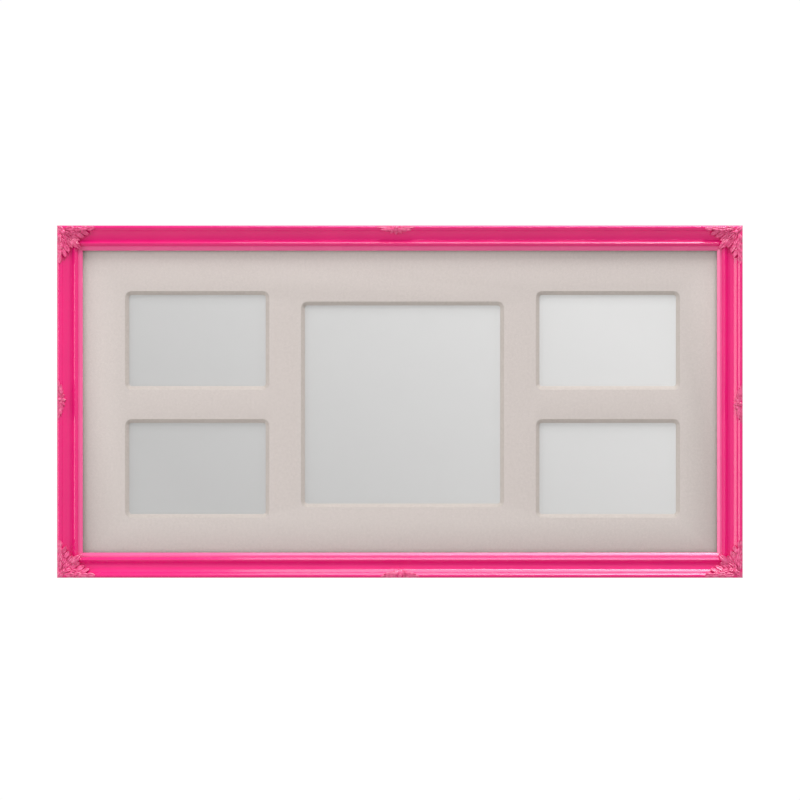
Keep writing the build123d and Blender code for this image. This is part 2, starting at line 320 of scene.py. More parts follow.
@dataclass(frozen=True)
class GreyCard(Finish):
    """Smooth uncoated card, grey with a painted reflection of the glass that lightens it to the upper right."""

    # A grey, lighter to the upper right over the whole collage: a painted reflection of the glass
    name: str = "smooth_grey_card"
    low_colour: str = "#BFBFBF"
    high_colour: str = "#DEDEDE"
    # The painted reflection runs over the width and the height of the five windows together
    cloud: float = 620 * MM
    # Paper fibres are finer than this in truth, and are drawn as coarse as they need to show
    grain: float = 0.6 * MM
    grain_depth: float = 0.01 * MM
    roughness: Point = (0.45, 0.65)

    def clouds(self, tree: Tree, place: Socket) -> Socket:
        """Lay out the painted reflection, an even slope to the upper right, in place of clouds.

        Args:
            tree: the material's nodes.
            place: where a point of the piece is.

        Returns:
            The slope, a half at the middle of the frame.
        """
        slope = 0.5
        parts = add_node(tree, "ShaderNodeSeparateXYZ", {"Vector": place}).outputs
        for part in (parts["X"], parts["Z"]):
            inputs = {0: part, 1: 1 / self.cloud, 2: slope}
            slope = add_node(tree, "ShaderNodeMath", inputs, operation="MULTIPLY_ADD").outputs[0]
        return slope


@dataclass(frozen=True)
class Hardboard(Finish):
    """Hardboard, pressed of steamed wood fibre on a wire screen."""

    # Dark brown felted fibre with the print of the wire screen on its back
    name: str = "screen_backed_hardboard"
    low_colour: str = "#694A30"
    high_colour: str = "#7F5A3B"
    # The pulp settles in patches about a finger's breadth across
    cloud: float = 14 * MM
    cloud_detail: float = 6.0
    cloud_span: Point = (0.3, 0.7)
    cloud_roughness: float = 0.65
    # Bundles of fibre a millimetre or two long lie on the surface
    grain: float = 1.4 * MM
    grain_detail: float = 4.0
    grain_depth: float = 0.35 * MM
    roughness: Point = (0.55, 0.85)
    # The screen's wires are about 1.6 mm apart in truth, and are drawn coarser so that they show
    screen_pitch: float = 2.4 * MM

    def relief(self, tree: Tree, place: Socket, grain: Socket) -> Socket:
        """Press the screen into the fibres.

        Args:
            tree: the material's nodes.
            place: where a point of the board is.
            grain: the fibres.

        Returns:
            The screen's print, with the fibres added.
        """
        # A wave texture repeats every pi / 10 of a unit over its scale
        wires = {"Vector": place, "Scale": math.pi / 10 / self.screen_pitch, "Distortion": 0.4}
        upright, level = (
            add_node(tree, "ShaderNodeTexWave", wires, bands_direction=direction).outputs["Fac"]
            for direction in ("X", "Z")
        )
        screen = add_node(tree, "ShaderNodeMath", {0: upright, 1: level}, operation="MULTIPLY").outputs[0]
        return add_node(tree, "ShaderNodeMath", {0: screen, 1: grain}, operation="ADD").outputs[0]


@dataclass(frozen=True)
class ZincPlate(Finish):
    """Mild steel sheet and wire, pressed and bright zinc plated."""

    # A cool, half bright grey with a cloudy yellowish bloom and fine scratches
    name: str = "zinc_plated_steel"
    low_colour: str = "#C3C6C9"
    high_colour: str = "#B3B1A6"
    # Passivation dries in clouds a few millimetres across
    cloud: float = 4.0 * MM
    cloud_detail: float = 4.0
    cloud_span: Point = (0.35, 0.65)
    # Scratches are finer than this in truth, and are drawn as coarse as they need to show
    grain: float = 0.5 * MM
    grain_depth: float = 0.01 * MM
    roughness: Point = (0.22, 0.46)
    metallic: float = 1.0


@dataclass(frozen=True)
class FloatGlass:
    """Clear glass, polished by the molten metal that it was floated on."""

    # It lets the mount show unchanged, and mirrors a little of the studio in front of it
    name: str = "clear_float_glass"
    tint: str = "#FEFEFE"
    ior: float = 1.5
    polish: float = 0.02

    def make(self) -> Material:
        """Build the material.

        Returns:
            The material, under the finish's own name.
        """
        material = blank_material(self.name)
        tree = material.node_tree
        fresnel = add_node(tree, "ShaderNodeFresnel", {"IOR": self.ior}).outputs[0]
        # Only the face that a ray enters by mirrors it, so that no ray is caught inside the pane
        leaving = add_node(tree, "ShaderNodeNewGeometry").outputs["Backfacing"]
        entering = add_node(tree, "ShaderNodeMath", {0: 1.0, 1: leaving}, operation="SUBTRACT").outputs[0]
        mirrored = add_node(tree, "ShaderNodeMath", {0: fresnel, 1: entering}, operation="MULTIPLY").outputs[0]
        through = add_node(tree, "ShaderNodeBsdfTransparent", {"Color": linear(self.tint)}).outputs[0]
        shine = add_node(tree, "ShaderNodeBsdfGlossy", {"Roughness": self.polish}).outputs[0]
        mixed = add_node(tree, "ShaderNodeMixShader", {0: mirrored, 1: through, 2: shine}).outputs[0]
        add_node(tree, "ShaderNodeOutputMaterial", {"Surface": mixed})
        return material


@dataclass(frozen=True)
class StudioPaint:
    """Matt emulsion, rolled on the studio floor."""

    # A plain pale surface with barely any gloss
    name: str = "pale_studio_floor"
    colour: str = "#DAD9D6"
    worn: str = "#D6D5D2"
    wear: float = 400 * MM
    roughness: float = 0.8

    def make(self) -> Material:
        """Build the material.

        Returns:
            The material, under the finish's own name.
        """
        material = blank_material(self.name)
        tree = material.node_tree
        place = add_node(tree, "ShaderNodeTexCoord").outputs["Object"]
        wear = add_node(tree, "ShaderNodeTexNoise", {"Vector": place, "Scale": 1 / self.wear}).outputs["Fac"]
        colours = {"Factor": wear, "A": linear(self.worn), "B": linear(self.colour)}
        colour = add_node(tree, "ShaderNodeMix", colours, data_type="RGBA").outputs["Result"]
        inputs = {"Base Color": colour, "Roughness": self.roughness}
        shader = add_node(tree, "ShaderNodeBsdfPrincipled", inputs)
        add_node(tree, "ShaderNodeOutputMaterial", {"Surface": shader.outputs["BSDF"]})
        return material


def only(obj: Object) -> None:
    """Select one object alone and make it active.

    Args:
        obj: the object.
    """
    bpy.ops.object.select_all(action="DESELECT")
    obj.select_set(True)
    bpy.context.view_layer.objects.active = obj


def edit(obj: Object, select: str = "SELECT") -> None:
    """Enter edit mode on one object.

    Args:
        obj: the object.
        select: SELECT for all of its mesh, or DESELECT for nothing.
    """
    only(obj)
    bpy.ops.object.mode_set(mode="EDIT")
    bpy.ops.mesh.select_all(action=select)


def leave_edit() -> None:
    """Go back to object mode."""
    bpy.ops.object.mode_set(mode="OBJECT")


def close_normals(obj: Object) -> None:
    """Merge doubles and turn every face outwards.

    Args:
        obj: the piece.
    """
    edit(obj)
    bpy.ops.mesh.remove_doubles(threshold=0.001 * MM)
    bpy.ops.mesh.normals_make_consistent(inside=False)
    leave_edit()


def smooth(obj: Object, degrees: float) -> None:
    """Shade a piece smooth, with its edges sharper than this many degrees kept."""
    only(obj)
    bpy.ops.object.shade_smooth_by_angle(angle=math.radians(degrees))


def apply_modifier(obj: Object, kind: str, **settings: object) -> None:
    """Add a modifier to a piece and apply it.

    Args:
        obj: the piece.
        kind: Blender's name for the modifier.
        **settings: the modifier's own properties.
    """
    modifier = obj.modifiers.new(kind.lower(), kind)
    for name, value in settings.items():
        setattr(modifier, name, value)
    only(obj)
    bpy.ops.object.modifier_apply(modifier=modifier.name)


def cut_away(obj: Object, tool: Object) -> None:
    """Cut one solid away from a piece, and delete that solid."""
    apply_modifier(obj, "BOOLEAN", operation="DIFFERENCE", object=tool, solver="EXACT")
    remove(tool)


def ease_edges(obj: Object, width: float, segments: int, degrees: float) -> None:
    """Round off the edges of a piece that are sharper than this many degrees, from this far back."""
    limit = math.radians(degrees)
    apply_modifier(obj, "BEVEL", width=width, segments=segments, limit_method="ANGLE", angle_limit=limit)


def settle(obj: Object, place: Matrix | None = None) -> Object:
    """Move a piece's place into its mesh, so that its object sits at the origin, unturned and unscaled.

    Args:
        obj: the piece.
        place: a further move, after the object's own.

    Returns:
        The piece.
    """
    obj.data.transform((place or Matrix.Identity(4)) @ obj.matrix_world)
    obj.matrix_world = Matrix.Identity(4)
    return obj


def closed_outline(name: str, outline: Sequence[Vector], fill: str = "NOTHING") -> Object:
    """Lay a circle's corners along an outline.

    Args:
        name: the new object's name.
        outline: the corners of the outline, in order.
        fill: NGON for a filled outline, or NOTHING.

    Returns:
        The outline.
    """
    bpy.ops.mesh.primitive_circle_add(vertices=len(outline), radius=1.0, fill_type=fill)
    obj = bpy.context.object
    obj.name = name
    for vertex, place in zip(obj.data.vertices, outline):
        vertex.co = place
    return obj


def outline_solid(name: str, outline: Sequence[Vector], sweep: Vector) -> Object:
    """Fill a closed outline and draw it out along a straight line.

    Args:
        name: the new object's name.
        outline: the corners of the outline, in order.
        sweep: how far and in which direction it is drawn out.

    Returns:
        The solid.
    """
    obj = closed_outline(name, outline, "NGON")
    edit(obj)
    bpy.ops.mesh.extrude_region_move(TRANSFORM_OT_translate={"value": sweep})
    leave_edit()
    close_normals(obj)
    return obj


def select_edges(obj: Object, wanted: Iterable[int]) -> None:
    """Select some of a mesh's edges, in edit mode.

    Args:
        obj: the piece.
        wanted: the edges' numbers.
    """
    edit(obj, "DESELECT")
    bpy.ops.mesh.select_mode(type="EDGE")
    mesh = bmesh.from_edit_mesh(obj.data)
    mesh.edges.ensure_lookup_table()
    for index in wanted:
        mesh.edges[index].select = True
    bmesh.update_edit_mesh(obj.data)


def slice_mesh(obj: Object, point: Place, normal: Place, halve: bool = False) -> None:
    """Cut a mesh along a plane.

    Args:
        obj: the piece.
        point: a point of the plane.
        normal: the plane's normal.
        halve: True to keep only the half that the normal points into, closed along the cut.
    """
    edit(obj)
    bpy.ops.mesh.bisect(plane_co=point, plane_no=normal, use_fill=halve, clear_inner=halve)
    leave_edit()


def copy_of(obj: Object, name: str, place: Matrix) -> Object:
    """Copy a piece with its own mesh, and move the copy to its place.

    Args:
        obj: the pattern.
        name: the copy's name.
        place: the move, which may mirror it.

    Returns:
        The copy.
    """
    mesh = obj.data.copy()
    mesh.transform(place)
    made = bpy.data.objects.new(name, mesh)
    bpy.context.scene.collection.objects.link(made)
    if place.determinant() < 0:
        close_normals(made)
    return made


def join(pieces: Sequence[Object], name: str) -> Object:
    """Join pieces into one object.

    Args:
        pieces: the pieces, of which the first takes the others in.
        name: the object's new name.

    Returns:
        The one object.
    """
    only(pieces[0])
    for piece in pieces:
        piece.select_set(True)
    bpy.ops.object.join()
    pieces[0].name = name
    return pieces[0]


def remove(obj: Object) -> None:
    """Delete an object that was only a pattern or a tool for others."""
    bpy.data.objects.remove(obj, do_unlink=True)


def dress(obj: Object, materials: Sequence[Material]) -> None:
    """Give a piece its materials.

    Args:
        obj: the piece.
        materials: one for each slot, the first for all faces that name no other.
    """
    slots = obj.data.materials
    for number, material in enumerate(materials):
        if number < len(slots):
            slots[number] = material
        else:
            slots.append(material)


def hand_over(obj: Object, materials: Sequence[Material], body: str, node: str) -> None:
    """Dress a finished piece, put it on its body in place of a CAD node, and report it.

    Args:
        obj: the piece.
        materials: its materials.
        body: the body that it moves with.
        node: the CAD node that it replaces.
    """
    dress(obj, materials)
    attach(obj, body)
    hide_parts(node)
    LOG.info("%s: %d faces on %s, for %s", obj.name, len(obj.data.polygons), body, node)


def arc(centre: Point, radius: float, start: float, end: float, steps: int) -> list[Point]:
    """Points along an arc between two angles, in this many steps, its ends among them."""
    angles = [start + (end - start) * step / steps for step in range(steps + 1)]
    return [(centre[0] + radius * math.cos(t), centre[1] + radius * math.sin(t)) for t in angles]


def arc_through(start: Point, passing: Point, end: Point, steps: int) -> list[Point]:
    """Lay points along the arc through three points.

    Args:
        start: where the arc starts.
        passing: a point that it passes.
        end: where it ends.
        steps: how many steps it has.

    Returns:
        The points after the first, up to the last.
    """
    a, b, c = (complex(*p) for p in (start, passing, end))
    w = (c - a) / (b - a)
    centre = a + (b - a) * (w - abs(w) ** 2) / (2j * w.imag)
    first, middle, last = (math.atan2((p - centre).imag, (p - centre).real) for p in (a, b, c))
    sweep = (last - first) % FULL_TURN
    if (middle - first) % FULL_TURN > sweep:
        sweep -= FULL_TURN
    return arc((centre.real, centre.imag), abs(a - centre), first, first + sweep, steps)[1:]


def level_on(line: Sequence[Point], place: float) -> float:
    """How high a line of points is at this place along it."""
    return float(np.interp(place, [p[0] for p in line], [p[1] for p in line]))


@dataclass(frozen=True)
class Sizes:
    """The sizes that several pieces share, as the CAD model has them."""

    frame_width: float = 720 * MM
    frame_height: float = 370 * MM
    moulding_width: float = 26 * MM
    scoop_height: float = 14.6 * MM
    relief: float = 6.9 * MM
    rabbet_width: float = 7 * MM
    rabbet_depth: float = 9.7 * MM
    stack_clearance: float = 1 * MM
    mount_front: float = -7.5 * MM
    mount_back: float = -3.9 * MM

    @property
    def land_width(self) -> float:
        """Width of the flat back of the moulding."""
        return self.moulding_width - self.rabbet_width

    def half_length(self, side: Side) -> float:
        """Half the length of a side's rail."""
        return (self.frame_width if side.is_long else self.frame_height) / 2

    def distance(self, side: Side) -> float:
        """How far a side's outer edge is from the centre."""
        return (self.frame_height if side.is_long else self.frame_width) / 2

    def on_side(self, side: Side, along: float, inset: float) -> Matrix:
        """The place on a side's back plane, by its distance along the rail and in from the outer edge."""
        return side.turn @ Matrix.Translation((along, 0, inset - self.distance(side)))


@dataclass
class Moulding:
    """The four mitred lengths of the painted moulding: a bead, a scoop, a small bead and a sight lip.

    From the start, each stretch of the face is straight or an arc through a point to its end. Their
    numbers are shares of the moulding's width, and of its relief over the lowest part of the scoop.
    """

    sizes: Sizes
    face: Sequence[Material]
    arc_steps: int = 14
    edge: float = 0.22 * MM
    edge_angle: float = 38
    crease: float = 14
    lip_start: float = 0.82
    start: Point = (0.0, 0.52)
    stretches: tuple[tuple[Point | None, Point], ...] = (
        ((0.019, 0.852), (0.075, 1.000)),
        ((0.102, 0.985), (0.128, 0.935)),
        (None, (0.205, 0.725)),
        (None, (0.215, 0.555)),
        (None, (0.330, 0.240)),
        ((0.445, 0.062), (0.570, 0.000)),
        (None, (0.600, 0.095)),
        (None, (0.703, 0.332)),
        ((0.719, 0.348), (0.735, 0.318)),
        (None, (0.805, 0.060)),
        (None, (0.822, -0.200)),
        ((0.872, -0.195), (0.925, -0.300)),
        (None, (0.992, -0.480)),
        (None, (1.000, -0.540)),
    )
    # How far a face's normal leans along Y or X where the face is the rail's bare back or its mitre
    back_lean: float = 0.7
    mitre_lean: float = 0.5

    def point(self, share: Point) -> Point:
        """A point of the face as its distance from the outer edge and its height, both in metres."""
        return (share[0] * self.sizes.moulding_width, self.sizes.scoop_height + share[1] * self.sizes.relief)

    def face_line(self) -> list[Point]:
        """Lay out the face of the moulding.

        Returns:
            Its points, from the outer edge to the sight edge.
        """
        line = [self.point(self.start)]
        for passing, end in self.stretches:
            if passing is None:
                line.append(self.point(end))
            else:
                line += arc_through(line[-1], self.point(passing), self.point(end), self.arc_steps)
        return line

    def height(self, inset: float) -> float:
        """The height of the moulding's face at this distance from the outer edge."""
        return level_on(self.face_line(), inset)

    def build_side(self, side: Side) -> Object:
        """Build one length of moulding, mitred at both ends.

        Args:
            side: the side of the frame that it is on.

        Returns:
            The finished rail in its place.
        """
        sizes = self.sizes
        half, distance = sizes.half_length(side), sizes.distance(side)
        rabbet = [(sizes.moulding_width, sizes.rabbet_depth), (sizes.land_width, sizes.rabbet_depth)]
        back = [(sizes.land_width, 0.0), (0.0, 0.0)]
        section = self.face_line() + rabbet + back
        outline = [Vector((-half, -height, inset - distance)) for inset, height in section]
        rail = outline_solid(f"rail_{side.word}_moulding", outline, Vector((2 * half, 0, 0)))
        for end in (-1, 1):
            slice_mesh(rail, (end * half, 0, -distance), (-end, 0, -1), halve=True)
        ease_edges(rail, self.edge, segments=2, degrees=self.edge_angle)
        self.mark_finishes(rail, distance)
        # The eased edges of the mitres would stand proud by a hair
        for vertex in rail.data.vertices:
            vertex.co.x = min(max(vertex.co.x, -half), half)
            vertex.co.z = max(vertex.co.z, -distance)
        smooth(rail, self.crease)
        return settle(rail, side.turn)

    def mark_finishes(self, rail: Object, distance: float) -> None:
        """Give the sight lip the second material, and the bare back, rabbet and mitres the third.

        Args:
            rail: the rail, in the bottom rail's place.
            distance: how far its outer edge is from the centre.
        """
        sizes = self.sizes
        for face in rail.data.polygons:
            inset = face.center.z + distance
            in_rabbet = inset > sizes.land_width - self.edge and face.center.y > -sizes.rabbet_depth
            if face.normal.y > self.back_lean or in_rabbet or abs(face.normal.x) > self.mitre_lean:
                face.material_index = 2
            elif inset > self.lip_start * sizes.moulding_width:
                # The sight lip takes the paler enamel, whose paleness is a painted sheen
                face.material_index = 1

    def build(self, pine: dict[bool, Material]) -> None:
        """Build and hand over the four rails.

        Args:
            pine: the bare wood, by whether the rail is a long one.
        """
        for side in Side:
            materials = [*self.face, pine[side.is_long]]
            hand_over(self.build_side(side), materials, "frame", f"rail_{side.word}")


@dataclass(frozen=True)
class Leaf:
    """One lobe of an ornament, measured in millimetres from the frame's corner or the spray's middle.

    The bend moves the middle of its spine to the left, as seen from its root. It stands on the ground by
    its lift, and its tip rises by the curl.
    """

    root: Point
    tip: Point
    width: float
    bend: float = 0.0
    lift: float = 1.3
    curl: float = 0.5

    # The outline is a half wave, from this start over this span, pushed to the tip and made fuller
    OUTLINE: ClassVar[Point] = (0.14, 0.86)
    PUSH: ClassVar[float] = 1.25
    FULLNESS: ClassVar[float] = 0.75
    # The crown is another along the spine
    CROWN: ClassVar[Point] = (0.12, 0.8)
    CROWN_FULLNESS: ClassVar[float] = 0.6
    # The middle is lower than the sides by this share of the lift, and has a groove this deep and wide
    HOLLOW: ClassVar[float] = 0.3
    GROOVE: ClassVar[float] = 0.24
    # The tip curls up from this start over this span of the length
    CURL: ClassVar[Point] = (0.7, 0.3)

    def spine(self, share: float) -> tuple[Vector, Vector]:
        """Follow the spine.

        Args:
            share: how far along it.

        Returns:
            The place there, and the direction across it.
        """
        start, end = Vector(self.root), Vector(self.tip)
        run = end - start
        left = Vector((-run.y, run.x)).normalized()
        place = start.lerp(end, share) + left * (4 * self.bend * share * (1 - share))
        heading = run + left * (4 * self.bend * (1 - 2 * share))
        return place * MM, Vector((-heading.y, heading.x)).normalized()

    def breadth(self, share: float) -> float:
        """Half the leaf's width at this share of its length: widest past the middle, with a pointed tip."""
        along = (self.OUTLINE[0] + self.OUTLINE[1] * share) ** self.PUSH
        return self.width * MM / 2 * math.sin(math.pi * along) ** self.FULLNESS

    def rise(self, share: float, across: float) -> float:
        """Shape the leaf's relief.

        Args:
            share: how far along the spine.
            across: how far to the side, from -1 at one rim to 1 at the other.

        Returns:
            How far the leaf stands above the ornament's ground, with a groove along its spine.
        """
        crown = math.sin(math.pi * (self.CROWN[0] + self.CROWN[1] * share)) ** self.CROWN_FULLNESS
        rim = (1 - abs(across) ** 3) * (1 - self.HOLLOW + self.HOLLOW * abs(across))
        groove = self.GROOVE * math.exp(-((across / self.GROOVE) ** 2))
        tip = self.curl * max(0.0, share - self.CURL[0]) / self.CURL[1]
        return MM * (self.lift * crown * (rim - groove) + tip * (1 - across**2))


@dataclass(frozen=True)
class Bud:
    """A round bud of an ornament, its place along the rail and in from the outer edge."""

    place: Point
    radius: float
    height: float
    petals: int = 5
    petal_depth: float = 0.14


@dataclass(frozen=True)
class Ornament:
    """The design of one casting: its halves are alike across the mitre, or across a side's middle.

    The half plan is half the outline of its bed, up to the line between the halves, in millimetres along
    the rail and in from the outer edge, and the heel closes it. Each leaf of the pairs has a twin in the
    other half, and the middle leaves lie across both.
    """

    name: str
    at_corner: bool
    pairs: tuple[Leaf, ...]
    middle: tuple[Leaf, ...]
    half_plan: tuple[Point, ...]
    bud: Bud
    heel: tuple[Point, ...] = ()

    def twin(self, point: Point) -> Point:
        """The same point in the other half."""
        return point[::-1] if self.at_corner else (-point[0], point[1])

    def leaves(self) -> list[Leaf]:
        """List the leaves of both halves.

        Returns:
            Each leaf of the pairs with its twin, and the middle leaves.
        """
        both = []
        for leaf in self.pairs:
            twin = replace(leaf, root=self.twin(leaf.root), tip=self.twin(leaf.tip), bend=-leaf.bend)
            both += [leaf, twin]
        return [*both, *self.middle]

    def plan(self) -> list[Point]:
        """The whole outline of the bed."""
        return [*self.heel, *self.half_plan, *[self.twin(point) for point in self.half_plan[-2::-1]]]

    def inset(self, x: float, z: float) -> float:
        """How far a place is from the nearer outer edge: at a corner, the moulding turns at the mitre."""
        return max(0.0, min(x, z) if self.at_corner else z)


@dataclass
class Castings:
    """The cast leaf ornaments on the corners and at the middle of the sides.

    Each is carved lobe by lobe, bedded on the moulding's own face, and painted with it. The ground that
    its leaves stand on is given like the moulding's face, in shares of the width and the relief.
    """

    sizes: Sizes
    moulding: Moulding
    paint: Sequence[Material]
    cells_along: int = 16
    cells_across: int = 10
    bedding: float = 0.15 * MM
    crest_limit: float = 23.6 * MM
    bed_crease: float = 40
    leaf_crease: float = 50
    bud_crease: float = 60
    centre_shifts: dict[Side, float] = field(
        default_factory=lambda: {Side.TOP: 4 * MM, Side.BOTTOM: 0.0, Side.LEFT: -2 * MM, Side.RIGHT: -2.5 * MM}
    )
    ground_line: tuple[Point, ...] = (
        (0.00, 0.72),
        (0.03, 0.92),
        (0.10, 1.00),
        (0.19, 0.98),
        (0.27, 0.82),
        (0.40, 0.46),
        (0.52, 0.32),
        (0.62, 0.44),
        (0.74, 0.60),
        (0.84, 0.42),
        (0.92, 0.08),
        (1.00, -0.10),
    )
    corner: Ornament = Ornament(
        "corner_casting",
        at_corner=True,
        pairs=(
            Leaf((30.5, 3.4), (40.3, 2.4), 5.0, 0.4, 1.7),
            Leaf((24.0, 3.8), (33.5, 3.0), 6.0, -0.4, 2.0),
            Leaf((25.5, 5.5), (33.8, 8.8), 4.8, 0.8, 1.6),
            Leaf((17.0, 3.8), (26.5, 3.4), 6.4, 0.4, 2.2),
            Leaf((19.5, 6.5), (28.8, 11.8), 5.4, 1.0, 1.8),
            Leaf((12.5, 10.5), (23.6, 20.2), 5.4, 0.6, 1.6),
            Leaf((14.5, 8.5), (23.8, 15.6), 5.6, 1.0, 1.9),
            Leaf((9.5, 3.6), (19.0, 3.4), 6.4, -0.4, 2.3),
            Leaf((14.0, 5.6), (21.8, 8.2), 4.8, 0.8, 2.4),
            Leaf((8.0, 6.4), (15.8, 9.0), 5.0, 0.8, 2.6),
        ),
        middle=(
            Leaf((13.0, 13.0), (24.6, 24.6), 6.6, 0.0, 1.8, 0.3),
            Leaf((7.5, 7.5), (15.4, 15.4), 5.8, 0.0, 2.5, 0.5),
            Leaf((6.8, 6.8), (0.6, 0.6), 6.4, 0.0, 1.8, 0.2),
        ),
        half_plan=((38.0, 0.15), (37.0, 3.2), (31.0, 5.2), (27.0, 7.6), (23.6, 11.6), (21.8, 16.0), (21.4, 21.4)),
        bud=Bud((6.7 * MM, 6.7 * MM), 2.7 * MM, 2.9 * MM),
        heel=((0.15, 0.15),),
    )
    spray: Ornament = Ornament(
        "spray_casting",
        at_corner=False,
        pairs=(
            Leaf((8.0, 2.4), (20.6, 1.8), 3.0, -0.3, 0.9),
            Leaf((6.0, 2.8), (16.6, 4.4), 3.2, 0.4, 1.0),
            Leaf((3.0, 2.6), (11.6, 5.8), 3.2, 0.5, 1.1),
            Leaf((1.4, 2.6), (6.0, 8.0), 3.2, 0.4, 1.1),
            Leaf((3.2, 1.4), (10.0, 1.5), 2.4, -0.1, 1.0),
        ),
        middle=(Leaf((0.0, 1.6), (0.0, 9.6), 3.6, 0.0, 1.2),),
        half_plan=((19.4, 0.15), (18.0, 2.6), (13.0, 4.2), (8.4, 5.6), (4.4, 6.8), (0.0, 8.0)),
        bud=Bud((0.0, 2.6 * MM), 2.0 * MM, 1.7 * MM),
    )

    def ground(self, inset: float) -> float:
        """The height that the leaves stand on, at this distance from the outer edge."""
        raised = level_on(self.ground_line, inset / self.sizes.moulding_width)
        return self.sizes.scoop_height + raised * self.sizes.relief

    def foot(self, inset: float) -> float:
        """The height of a casting's underside, bedded a little into the moulding's face."""
        return self.moulding.height(inset) - self.bedding

    def carve(self, design: Ornament, leaf: Leaf) -> Object:
        """Carve one leaf, as a crowned and grooved shell closed down to the moulding's face.

        Args:
            design: the ornament that it belongs to.
            leaf: its plan and relief.

        Returns:
            The leaf, with X along the bottom rail, Z in from the outer edge and Y from the back plane.
        """
        bpy.ops.mesh.primitive_grid_add(x_subdivisions=self.cells_along, y_subdivisions=self.cells_across, size=2)
        obj = bpy.context.object
        for vertex in obj.data.vertices:
            share, across = (vertex.co.x + 1) / 2, vertex.co.y
            place, left = leaf.spine(share)
            x, z = place + left * (across * leaf.breadth(share))
            top = min(self.ground(design.inset(x, z)) + leaf.rise(share, across), self.crest_limit)
            vertex.co = (max(x, 0.0) if design.at_corner else x, -top, max(z, 0.0))
        edit(obj)
        bpy.ops.mesh.extrude_region_move(TRANSFORM_OT_translate={"value": (0, 1 * MM, 0)})
        leave_edit()
        for vertex in obj.data.vertices:
            if vertex.select:
                vertex.co.y = -self.foot(design.inset(vertex.co.x, vertex.co.z))
        close_normals(obj)
        smooth(obj, self.leaf_crease)
        return obj

    def lay_bed(self, design: Ornament) -> Object:
        """Lay the bed of an ornament under its leaves.

        Args:
            design: the ornament.

        Returns:
            A thin slab that follows the moulding.
        """
        thickness = 1 * MM
        outline = [Vector((x * MM, 0, z * MM)) for x, z in design.plan()]
        obj = outline_solid(f"{design.name}_bed", outline, Vector((0, -thickness, 0)))
        reach = int(max(x for x, _ in design.half_plan)) + 1
        cuts = [((step * MM, 0, 0), (1, 0, 0)) for step in range(-reach, reach + 1)]
        cuts += [((0, 0, step * MM), (0, 0, 1)) for step in range(1, round(self.sizes.moulding_width / MM))]
        if design.at_corner:
            cuts.append(((0, 0, 0), (1, 0, -1)))
        for point, normal in cuts:
            slice_mesh(obj, point, normal)
        for vertex in obj.data.vertices:
            inset = design.inset(vertex.co.x, vertex.co.z)
            vertex.co.y = -self.ground(inset) if vertex.co.y < -thickness / 2 else -self.foot(inset)
        smooth(obj, self.bed_crease)
        return obj

    def turn_bud(self, bud: Bud) -> Object:
        """Turn a bud and cut petals into its sides.

        Args:
            bud: its place and size.

        Returns:
            The bud, on the mitre or in a spray's middle.
        """
        bpy.ops.mesh.primitive_uv_sphere_add(segments=20, ring_count=10, radius=bud.radius)
        obj = bpy.context.object
        seat = self.ground(bud.place[1])
        for vertex in obj.data.vertices:
            ripple = bud.petal_depth * math.cos(bud.petals * math.atan2(vertex.co.y, vertex.co.x))
            petal = 1 + ripple * (1 - abs(vertex.co.z) / bud.radius)
            x, y, z = vertex.co.x * petal, vertex.co.y * petal, vertex.co.z / bud.radius * bud.height
            vertex.co = (bud.place[0] + x, -min(seat + z, self.crest_limit), bud.place[1] + y)
        close_normals(obj)
        smooth(obj, self.bud_crease)
        return obj

    def cast(self, design: Ornament) -> Object:
        """The casting of the corner at the origin, or of a spray whose rail lies along X."""
        leaves = [self.carve(design, leaf) for leaf in design.leaves()]
        return join([*leaves, self.lay_bed(design), self.turn_bud(design.bud)], design.name)

    def build(self) -> None:
        """Copy the two patterns to the four corners and the four sides, and hand them over."""
        corner, spray = self.cast(self.corner), self.cast(self.spray)
        to_corner = Matrix.Translation((-self.sizes.frame_width / 2, 0, -self.sizes.frame_height / 2))
        for row, flip_z in (("bottom", 1), ("top", -1)):
            for column, flip_x in (("left", 1), ("right", -1)):
                place = Matrix.Diagonal((flip_x, 1, flip_z, 1)) @ to_corner
                made = copy_of(corner, f"{corner.name}_{row}_{column}", place)
                hand_over(made, self.paint, "frame", f"corner_ornament_{row}_{column}")
        for side in Side:
            place = self.sizes.on_side(side, self.centre_shifts[side], 0.0)
            made = copy_of(spray, f"{spray.name}_{side.word}", place)
            hand_over(made, self.paint, "frame", f"centre_ornament_{side.word}")
        remove(corner)
        remove(spray)


